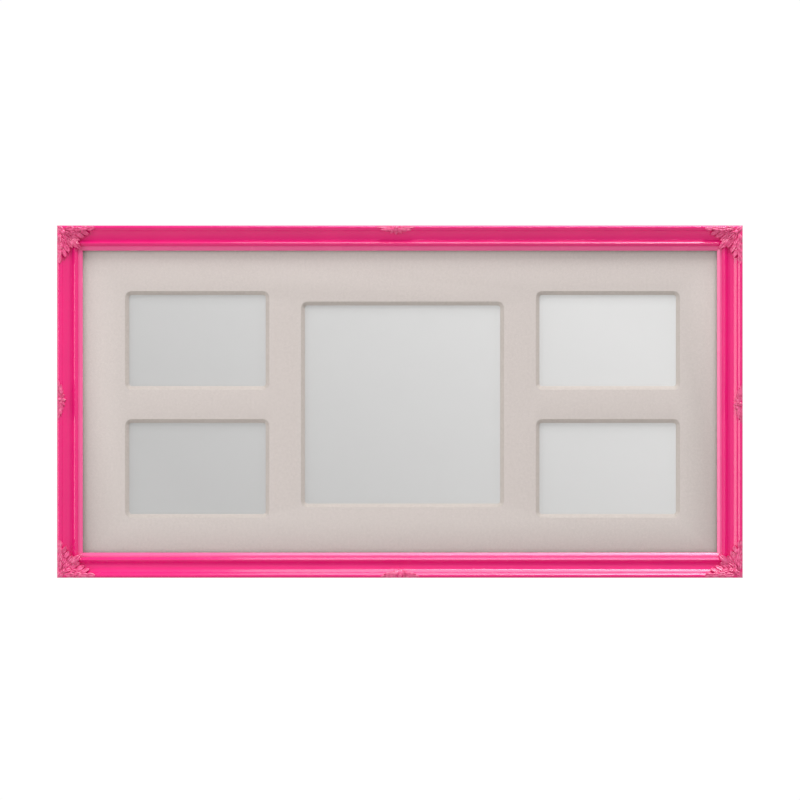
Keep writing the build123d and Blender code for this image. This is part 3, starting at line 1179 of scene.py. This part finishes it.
@dataclass
class MountBoard:
    """The mount: one board with five windows, whose bevels open towards the front."""

    sizes: Sizes
    faces: Sequence[Material]
    bevel: float = 4 * MM
    radius: float = 2.6 * MM
    corner_steps: int = 6
    spare: float = 1 * MM
    soft_edge: float = 0.5 * MM
    edge_angle: float = 30
    crease: float = 40
    small_window: Point = (144 * MM, 96 * MM)
    centre_window: Point = (206 * MM, 209 * MM)
    column: float = 216.5 * MM
    row: float = 67.5 * MM
    shift: Point = (2.8 * MM, -3 * MM)
    # A bevel's normal leans along Y by an amount between these, and bevels are no nearer the board's rim
    bevel_lean: Point = (0.1, 0.97)
    rim: float = 2 * MM

    def rounded(self, centre: Point, size: Point, grow: float, y: float) -> list[Vector]:
        """Lay out a window with rounded corners.

        Args:
            centre: its middle.
            size: its width and height.
            grow: how much larger it is on each side.
            y: how far back it lies.

        Returns:
            Its outline.
        """
        radius = self.radius + grow
        corners = ((1, 1, 0.0), (-1, 1, 0.25), (-1, -1, 0.5), (1, -1, 0.75))
        outline = []
        for right, up, start in corners:
            x = centre[0] + right * (size[0] / 2 - self.radius)
            z = centre[1] + up * (size[1] / 2 - self.radius)
            points = arc((x, z), radius, start * FULL_TURN, (start + 0.25) * FULL_TURN, self.corner_steps)
            outline += [Vector((x, y, z)) for x, z in points]
        return outline

    def cutter(self, centre: Point, size: Point) -> Object:
        """Shape the wedge that cuts one window.

        Args:
            centre: the window's middle.
            size: its width and height at the back.

        Returns:
            The wedge, which passes a little through the board on both sides.
        """
        slope = self.bevel / (self.sizes.mount_back - self.sizes.mount_front)
        front, back = self.sizes.mount_front - self.spare, self.sizes.mount_back + self.spare
        tool = outline_solid("window_cutter", self.rounded(centre, size, 0, back), Vector((0, front - back, 0)))
        wide = self.rounded(centre, size, self.bevel + self.spare * slope, front)
        narrow = self.rounded(centre, size, -self.spare * slope, back)
        base = self.rounded(centre, size, 0, 0)
        for vertex in tool.data.vertices:
            x, y, z = vertex.co
            nearest = min(range(len(base)), key=lambda i: (base[i].x - x) ** 2 + (base[i].z - z) ** 2)
            vertex.co = wide[nearest] if y < (front + back) / 2 else narrow[nearest]
        close_normals(tool)
        return tool

    def build(self) -> None:
        """Cut the board, ease its edges and hand it over."""
        sizes = self.sizes
        half_x = sizes.frame_width / 2 - sizes.land_width - sizes.stack_clearance
        half_z = sizes.frame_height / 2 - sizes.land_width - sizes.stack_clearance
        corners = ((-half_x, -half_z), (half_x, -half_z), (half_x, half_z), (-half_x, half_z))
        outline = [Vector((x, sizes.mount_back, z)) for x, z in corners]
        board = outline_solid("mount_board_cut", outline, Vector((0, sizes.mount_front - sizes.mount_back, 0)))
        windows = [((0.0, 0.0), self.centre_window)]
        windows += [((x * self.column, z * self.row), self.small_window) for x in (-1, 1) for z in (-1, 1)]
        for centre, size in windows:
            cut_away(board, self.cutter((centre[0] + self.shift[0], centre[1] + self.shift[1]), size))
        ease_edges(board, self.soft_edge, segments=3, degrees=self.edge_angle)
        for face in board.data.polygons:
            in_window = abs(face.center.x) < half_x - self.rim and abs(face.center.z) < half_z - self.rim
            if in_window and self.bevel_lean[0] < abs(face.normal.y) < self.bevel_lean[1]:
                # The bevels take the darker paint, which is painted shade
                face.material_index = 1
        smooth(board, self.crease)
        hand_over(settle(board), self.faces, "picture_mount", "mount_board")


@dataclass(frozen=True)
class PanHead:
    """A pan-head wood screw with a cross recess, its head's seat at the origin.

    Half its section is given as shares of the radius and the length of its shank and of its head. The
    recess has its reach and half width as shares of the head's radius, and its depth of the height. The
    turns are in radians: that of the first screw that is fitted, and how much further each next one is.
    """

    shank: float
    length: float
    head: float
    height: float
    turns: Point
    around: int = 32
    crease: float = 40
    shank_line: tuple[Point, ...] = ((0.0, -1.0), (0.3, -0.93), (1.0, -0.8), (1.0, 0.0))
    head_line: tuple[Point, ...] = ((1.0, 0.0), (1.0, 0.35), (0.95, 0.62), (0.8, 0.86), (0.52, 0.98), (0.0, 1.0))
    recess: Place = (0.56, 0.17, 0.72)
    recess_taper: float = 0.62
    cutter_top: float = 1.2

    def turn_one(self) -> Object:
        """Spin the screw from half its section and cut its recess.

        Returns:
            The screw, its head towards the wall and its point towards the front.
        """
        outline = [Vector((self.shank * x, self.length * y, 0)) for x, y in self.shank_line]
        outline += [Vector((self.head * x, self.height * y, 0)) for x, y in self.head_line]
        screw = closed_outline("screw_pattern", outline)
        # The circle's last edge lies on the axis, and would make a wall inside the screw
        last = {0, len(outline) - 1}
        select_edges(screw, [e.index for e in screw.data.edges if set(e.vertices) == last])
        bpy.ops.mesh.delete(type="EDGE_FACE")
        bpy.ops.mesh.select_all(action="SELECT")
        bpy.ops.mesh.spin(steps=self.around, angle=FULL_TURN, center=(0, 0, 0), axis=(0, 1, 0))
        leave_edit()
        close_normals(screw)
        self.cut_recess(screw)
        smooth(screw, self.crease)
        return screw

    def cut_recess(self, screw: Object) -> None:
        """Cut the tapered cross into the head.

        Args:
            screw: the screw.
        """
        reach, width = self.head * self.recess[0], self.head * self.recess[1]
        top, depth = self.height * self.cutter_top, self.height * self.recess[2]
        arm = [(width, reach), (-width, reach), (-width, width)]
        outline = []
        for _ in range(4):
            outline += [Vector((x, top, z)) for x, z in arm]
            arm = [(-z, x) for x, z in arm]
        tool = outline_solid("recess_cutter", outline, Vector((0, -depth, 0)))
        for vertex in tool.data.vertices:
            if vertex.co.y < top - depth / 2:
                vertex.co.x *= self.recess_taper
                vertex.co.z *= self.recess_taper
        cut_away(screw, tool)

    def fit(self, seats: Sequence[Matrix], name: str) -> Object:
        """Fit a screw at each seat, stopped at a turn of its own, as by hand.

        Args:
            seats: the places of the screws' heads.
            name: the name of the piece.

        Returns:
            All of the screws as one piece.
        """
        pattern = self.turn_one()
        screws = []
        for number, seat in enumerate(seats):
            spin = Matrix.Rotation(self.turns[0] + self.turns[1] * number, 4, "Y")
            screws.append(copy_of(pattern, f"{name}_{number}", seat @ spin))
        remove(pattern)
        return join(screws, name)


@dataclass
class TurnButtons:
    """Six pressed steel turn buttons on their screws, which hold the back board in.

    The rib is a ball, drawn out along X and pressed flat. Its numbers are in millimetres, but for its
    foot, which is where the ball is cut off below its middle, as a share of its radius.
    """

    sizes: Sizes
    steel: Material
    length: float = 20 * MM
    thickness: float = 1.2 * MM
    gap: float = 0.2 * MM
    end_radius: float = 5 * MM
    nose_width: float = 6 * MM
    nose_cut: float = 1.2 * MM
    hole: float = 1.58 * MM
    end_steps: int = 20
    edge: float = 0.25 * MM
    crease: float = 40
    rib_middle: float = 12.2
    rib_half_length: float = 5.4
    rib_half_width: float = 1.15
    rib_height: float = 0.28
    rib_sunk: float = 0.05
    rib_foot: float = -0.2
    screw: PanHead = PanHead(1.5 * MM, 12.6 * MM, 3.2 * MM, 1.6 * MM, turns=(0.3, 0.7))

    def places(self) -> dict[str, Matrix]:
        """Find the places of the buttons' pivots.

        Returns:
            Each button's place, by its name.
        """
        sizes = self.sizes
        along, inset = sizes.frame_width / 4, sizes.land_width / 2
        return {
            "top_left": sizes.on_side(Side.TOP, along, inset),
            "top_right": sizes.on_side(Side.TOP, -along, inset),
            "bottom_left": sizes.on_side(Side.BOTTOM, -along, inset),
            "bottom_right": sizes.on_side(Side.BOTTOM, along, inset),
            "left": sizes.on_side(Side.LEFT, 0, inset),
            "right": sizes.on_side(Side.RIGHT, 0, inset),
        }

    def blade(self) -> Object:
        """Cut the pattern of a button.

        Returns:
            A tapered blade with a hole, its pivot at the origin.
        """
        half, nose = self.nose_width / 2, self.nose_cut
        outline = [(self.length - nose, -half), (self.length, nose - half)]
        outline += [(self.length, half - nose), (self.length - nose, half)]
        outline += arc((0.0, 0.0), self.end_radius, FULL_TURN / 4, 3 * FULL_TURN / 4, self.end_steps)
        points = [Vector((x, self.gap, z)) for x, z in outline]
        blade = outline_solid("button_pattern", points, Vector((0, self.thickness, 0)))
        bpy.ops.mesh.primitive_cylinder_add(
            vertices=24, radius=self.hole, depth=5 * self.thickness, rotation=(math.pi / 2, 0, 0)
        )
        cut_away(blade, settle(bpy.context.object))
        ease_edges(blade, self.edge, segments=2, degrees=self.crease)
        return blade

    def rib(self) -> Object:
        """Press the rib that runs along a button towards its nose.

        Returns:
            The rib, standing on the blade.
        """
        top = self.gap + self.thickness
        bpy.ops.mesh.primitive_uv_sphere_add(segments=20, ring_count=10, radius=1.0)
        rib = bpy.context.object
        for vertex in rib.data.vertices:
            x, y, z = vertex.co
            vertex.co = (
                (self.rib_middle + self.rib_half_length * x) * MM,
                top - self.rib_sunk * MM + self.rib_height * MM * max(z, self.rib_foot),
                self.rib_half_width * MM * y,
            )
        close_normals(rib)
        return rib

    def build(self) -> None:
        """Copy the pattern to the six places, with a screw at each."""
        pattern = join([self.blade(), self.rib()], "button_pattern")
        smooth(pattern, self.crease)
        places = self.places()
        for name, place in places.items():
            button = copy_of(pattern, f"turn_button_{name}_pressed", place)
            hand_over(button, [self.steel], f"button_{name}", f"turn_button_{name}")
        remove(pattern)
        seat = Matrix.Translation((0, 2 * self.gap + self.thickness, 0))
        screws = self.screw.fit([place @ seat for place in places.values()], "turn_button_pan_heads")
        hand_over(screws, [self.steel], "frame", "turn_button_screws")


@dataclass
class Hangers:
    """Two hangers on the backs of the side rails: a folded strap, a D ring in its fold, and a screw."""

    sizes: Sizes
    steel: Material
    wire: float = 1 * MM
    wire_sides: int = 14
    bar_half: float = 5 * MM
    corner: float = 2.2 * MM
    corner_steps: int = 8
    bow_steps: int = 28
    ring_crease: float = 60
    sheet: float = 0.8 * MM
    play: float = 0.08 * MM
    half_slit: float = 0.04 * MM
    fold_steps: int = 24
    strap_width: float = 9 * MM
    strap_length: float = 22 * MM
    strap_edge: float = 0.12 * MM
    strap_edge_angle: float = 50
    strap_crease: float = 40
    rest_gap: float = 0.2 * MM
    height: float = 110 * MM
    screw_inset: float = 5.4 * MM
    screw: PanHead = PanHead(1.6 * MM, 13.6 * MM, 3.3 * MM, 1.7 * MM, turns=(0.5, 0.9))

    @property
    def roll(self) -> float:
        """Outer radius of the strap's fold."""
        return self.wire + self.play + self.sheet

    def ring(self) -> Object:
        """Bend a D ring of round wire.

        Returns:
            The ring, its bar along X at the origin and its bow hanging against the strap.
        """
        bpy.ops.mesh.primitive_circle_add(
            vertices=self.wire_sides, radius=self.wire, location=(-self.bar_half, 0, 0), rotation=(0, math.pi / 2, 0)
        )
        ring = bpy.context.object
        ring.name = "ring_pattern"
        settle(ring)
        edit(ring)
        bpy.ops.mesh.extrude_region_move(TRANSFORM_OT_translate={"value": (2 * self.bar_half, 0, 0)})
        bends = (
            (self.bar_half, self.corner_steps, 0.25),
            (0.0, self.bow_steps, 0.5),
            (-self.bar_half, self.corner_steps, 0.25),
        )
        for x, steps, turn in bends:
            bpy.ops.mesh.spin(steps=steps, angle=turn * FULL_TURN, center=(x, 0, -self.corner), axis=(0, -1, 0))
        leave_edit()
        close_normals(ring)
        drop = self.corner + self.bar_half + self.corner
        lean = math.asin((2 * self.sheet + self.rest_gap + self.wire - self.roll) / drop)
        ring.data.transform(Matrix.Rotation(lean, 4, "X"))
        smooth(ring, self.ring_crease)
        return ring

    def strap(self) -> Object:
        """Fold a strip round the ring's bar and round its end off.

        Returns:
            The strap, its two layers flat on the rail and the bar's axis at the origin.
        """
        inner, outer = self.wire + self.play, self.roll
        front, seam, back = -outer, self.sheet - outer, 2 * self.sheet - outer
        foot = -self.strap_length
        outside, inside = (
            arc((0.0, 0.0), radius, -math.acos(level / radius), FULL_TURN / 2, self.fold_steps)
            for radius, level in ((outer, back), (inner, seam + self.half_slit))
        )
        outline = [(back, foot), *outside, (front, foot), (seam - self.half_slit, foot), *reversed(inside)]
        outline.append((seam + self.half_slit, foot))
        half = self.strap_width / 2
        points = [Vector((-half, y, z)) for y, z in outline]
        strap = outline_solid("strap_pattern", points, Vector((self.strap_width, 0, 0)))
        # The plan reaches past the fold, and through both layers
        above, through = 3 * MM, 6 * MM
        plan = [(half, above), (-half, above)]
        plan += arc((0.0, half - self.strap_length), half, FULL_TURN / 2, FULL_TURN, self.fold_steps)
        points = [Vector((x, -through, z)) for x, z in plan]
        shape = outline_solid("strap_plan", points, Vector((0, 2 * through, 0)))
        apply_modifier(strap, "BOOLEAN", operation="INTERSECT", object=shape, solver="EXACT")
        remove(shape)
        ease_edges(strap, self.strap_edge, segments=2, degrees=self.strap_edge_angle)
        smooth(strap, self.strap_crease)
        return strap

    def build(self) -> None:
        """Copy the patterns to the two sides and hand them over."""
        ring, strap = self.ring(), self.strap()
        seat = Matrix.Translation((0, 2 * self.sheet - self.roll, self.screw_inset - self.strap_length))
        inset = self.sizes.frame_width / 2 - self.sizes.land_width / 2
        seats = []
        for name, x in (("left", -inset), ("right", inset)):
            place = Matrix.Translation((x, self.roll, self.height))
            one = copy_of(ring, f"hanger_ring_{name}_wire", place)
            hand_over(one, [self.steel], f"ring_{name}", f"hanger_ring_{name}")
            fold = copy_of(strap, f"hanger_strap_{name}_folded", place)
            hand_over(fold, [self.steel], "frame", f"hanger_strap_{name}")
            seats.append(place @ seat)
        remove(ring)
        remove(strap)
        screws = self.screw.fit(seats, "hanger_pan_heads")
        hand_over(screws, [self.steel], "frame", "hanger_screws")


@dataclass(frozen=True)
class Softbox:
    """A rectangular light: where it hangs, the point that it faces, and how bright it looks."""

    name: str
    place: Place
    size: Point
    radiance: float
    aim: Place

    def hang(self) -> None:
        """Put the light in the scene."""
        data = bpy.data.lights.new(self.name, "AREA")
        data.shape = "RECTANGLE"
        data.size, data.size_y = self.size
        # Four watts to the square metre make a radiance of one, which looks white
        data.energy = 4 * self.size[0] * self.size[1] * self.radiance
        light = bpy.data.objects.new(self.name, data)
        light.location = self.place
        light.rotation_euler = (Vector(self.aim) - Vector(self.place)).to_track_quat("-Z", "Y").to_euler()
        bpy.context.scene.collection.objects.link(light)


@dataclass
class Studio:
    """The camera, a pale floor far below, plain soft lights, and a room of even light.

    The room is dim, with bright walls to the sides, a bright ceiling, and a bright ring in front, round
    the camera. Each edge is the two places between which the light changes, along a ray's direction.
    """

    distance: float = 3.0
    seen_width: float = 0.84
    sensor: float = 36.0
    face_plane: float = -20 * MM
    camera_place: Point = (0.0001, 0.00173)
    floor_drop: float = 1.5
    floor_size: float = 15.0
    backdrop: float = 1.02
    dim: float = 0.35
    below: float = 0.4
    ring_light: float = 0.95
    ring_edge: Point = (-0.985, -0.95)
    ring_end: Point = (-0.84, -0.74)
    side_light: float = 0.85
    side_edge: Point = (0.3, 0.7)
    top_light: float = 0.7
    top_edge: Point = (0.2, 0.6)
    softboxes: tuple[Softbox, ...] = (
        Softbox("ceiling", (0.55, -0.45, 2.0), (1.7, 1.3), 3.6, (0.55, -0.2, 0)),
        Softbox("strip_above", (0.62, -0.76, 1.85), (1.7, 0.34), 9.6, (0.1, 0, 0)),
        Softbox("wall_left", (-2.4, -1.25, 0.1), (1.3, 1.8), 2.6, (0, 0, 0)),
    )

    def make_camera(self) -> None:
        """Place the camera straight in front, as the photograph was taken."""
        data = bpy.data.cameras.new("camera")
        data.sensor_width = self.sensor
        data.lens = self.sensor * self.distance / self.seen_width
        camera = bpy.data.objects.new("camera", data)
        camera.location = (self.camera_place[0], self.face_plane - self.distance, self.camera_place[1])
        camera.rotation_euler = (math.pi / 2, 0, 0)
        bpy.context.scene.collection.objects.link(camera)
        bpy.context.scene.camera = camera

    def make_floor(self) -> None:
        """Lay the floor as far below the frame as a picture hangs above one."""
        bpy.ops.mesh.primitive_plane_add(size=self.floor_size, location=(0, 0, -self.floor_drop))
        floor = settle(bpy.context.object)
        floor.name = "studio_floor"
        dress(floor, [StudioPaint().make()])

    def make_world(self) -> None:
        """Fill the room with even light, with a white backdrop behind the frame."""
        world = bpy.data.worlds.new("studio")
        bpy.context.scene.world = world
        world.use_nodes = True
        tree = world.node_tree
        tree.nodes.clear()
        white = linear("#FFFFFF")
        seen = add_node(tree, "ShaderNodeLightPath").outputs["Is Camera Ray"]
        backdrop = add_node(tree, "ShaderNodeBackground", {"Color": white, "Strength": self.backdrop}).outputs[0]
        place = add_node(tree, "ShaderNodeTexCoord").outputs["Generated"]
        parts = add_node(tree, "ShaderNodeSeparateXYZ", {"Vector": place}).outputs
        apart = add_node(tree, "ShaderNodeMath", {0: parts["X"]}, operation="ABSOLUTE").outputs[0]
        ramps = (
            (apart, self.side_edge, self.dim, self.side_light),
            (parts["Z"], self.top_edge, self.dim, self.top_light),
            (parts["Y"], self.ring_edge, self.dim, self.ring_light),
            (parts["Y"], self.ring_end, 1.0, self.below),
        )
        lights = []
        for value, edge, low, high in ramps:
            inputs = {"Value": value, "From Min": edge[0], "From Max": edge[1], "To Min": low, "To Max": high}
            ramp = add_node(tree, "ShaderNodeMapRange", inputs, interpolation_type="SMOOTHSTEP")
            lights.append(ramp.outputs["Result"])
        sides, top, ring, past_ring = lights
        ring = add_node(tree, "ShaderNodeMath", {0: ring, 1: past_ring}, operation="MULTIPLY").outputs[0]
        broad = add_node(tree, "ShaderNodeMath", {0: sides, 1: top}, operation="MAXIMUM").outputs[0]
        strength = add_node(tree, "ShaderNodeMath", {0: broad, 1: ring}, operation="MAXIMUM").outputs[0]
        room = add_node(tree, "ShaderNodeBackground", {"Color": white, "Strength": strength}).outputs[0]
        mixed = add_node(tree, "ShaderNodeMixShader", {0: seen, 1: room, 2: backdrop}).outputs[0]
        add_node(tree, "ShaderNodeOutputWorld", {"Surface": mixed})

    def build(self) -> None:
        """Set the stage up."""
        self.make_camera()
        self.make_floor()
        self.make_world()
        for softbox in self.softboxes:
            softbox.hang()
        bpy.context.scene.view_settings.view_transform = "Standard"


def dress_carried_over(nodes: dict[str, Object], finishes: dict[str, Material]) -> None:
    """Give the CAD nodes that stay their finishes.

    Args:
        nodes: the CAD nodes by name.
        finishes: the finish of the nodes whose names start with each of these words.
    """
    for name, node in nodes.items():
        for start, material in finishes.items():
            if name.startswith(start):
                dress(node, [material])
                LOG.info("%s: kept, in %s", name, material.name)


def main() -> None:
    """Build every piece in order, dress it, and set the stage."""
    logging.basicConfig(level=logging.INFO, format="%(message)s")
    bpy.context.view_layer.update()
    sizes = Sizes()
    enamel = SprayedEnamel().make()
    steel = ZincPlate().make()
    pine = {True: PlanedPine().make(), False: PlanedPine("planed_pine_along_z", stretch=Grain.ALONG_Z.value).make()}
    # The enamel of the sight lip is paler, a painted sheen, and duller
    lip_enamel_painted_sheen = SprayedEnamel("rubbed_pink_enamel", "#E2548D", "#EA5C95", roughness=(0.22, 0.3)).make()
    moulding = Moulding(sizes, [enamel, lip_enamel_painted_sheen])
    moulding.build(pine)
    Castings(sizes, moulding, [StippledEnamel().make()]).build()
    # The cut bevels are a little darker than the face: painted shade
    cut_board = PaintedFibreboard("greige_cut_bevel", "#BDB4AE", "#C6BDB7").make()
    MountBoard(sizes, [PaintedFibreboard().make(), cut_board]).build()
    TurnButtons(sizes, steel).build()
    Hangers(sizes, steel).build()
    finishes = {
        "glass_pane": FloatGlass().make(),
        "filler_card": GreyCard().make(),
        "back_board": Hardboard().make(),
        "mitre_wedges": steel,
    }
    dress_carried_over(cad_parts, finishes)
    Studio().build()


if __name__ == "__main__":
    main()
